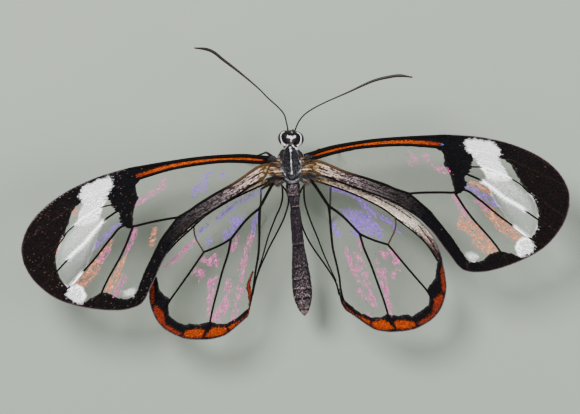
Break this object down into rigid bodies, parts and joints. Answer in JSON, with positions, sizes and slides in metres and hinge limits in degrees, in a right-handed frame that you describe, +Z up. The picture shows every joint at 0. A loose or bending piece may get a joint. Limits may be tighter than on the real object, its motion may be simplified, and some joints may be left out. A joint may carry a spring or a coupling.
{
  "type": "glasswing butterfly",
  "caption": "Butterfly with clear wings edged in black and rust orange, spread flat, standing on its feet as a still life-size model.",
  "frame": {"origin": "on the floor, under the middle of the outline seen from above", "axes": "+Z up out of the back, -Y the way the head looks, +X to the animal's own left"},
  "size_m": [0.0602, 0.033, 0.0095],
  "materials": {
    "body_cuticle": "dark scaled cuticle",
    "abdomen_cuticle": "dark scaled cuticle",
    "tongue": "smooth cuticle",
    "eye": "glossy facets",
    "antenna": "scaled cuticle",
    "wing": "clear membrane with dark veins",
    "leg": "scaled cuticle"
  },
  "bodies": {
    "root": {"abdomen": "abdomen_cuticle", "antenna_left_club": "antenna", "antenna_left_stalk": "antenna", "antenna_right_club": "antenna", "antenna_right_stalk": "antenna", "eye_left": "eye", "eye_right": "eye", "foreleg_left": "leg", "foreleg_right": "leg", "forewing_left": "wing", "forewing_right": "wing", "head": "body_cuticle", "hindleg_left_femur": "leg", "hindleg_left_tarsus": "leg", "hindleg_left_tibia": "leg", "hindleg_right_femur": "leg", "hindleg_right_tarsus": "leg", "hindleg_right_tibia": "leg", "hindwing_left": "wing", "hindwing_right": "wing", "midleg_left_femur": "leg", "midleg_left_tarsus": "leg", "midleg_left_tibia": "leg", "midleg_right_femur": "leg", "midleg_right_tarsus": "leg", "midleg_right_tibia": "leg", "palp_left": "body_cuticle", "palp_right": "body_cuticle", "proboscis": "tongue", "thorax": "body_cuticle"}
  },
  "joints": []
}
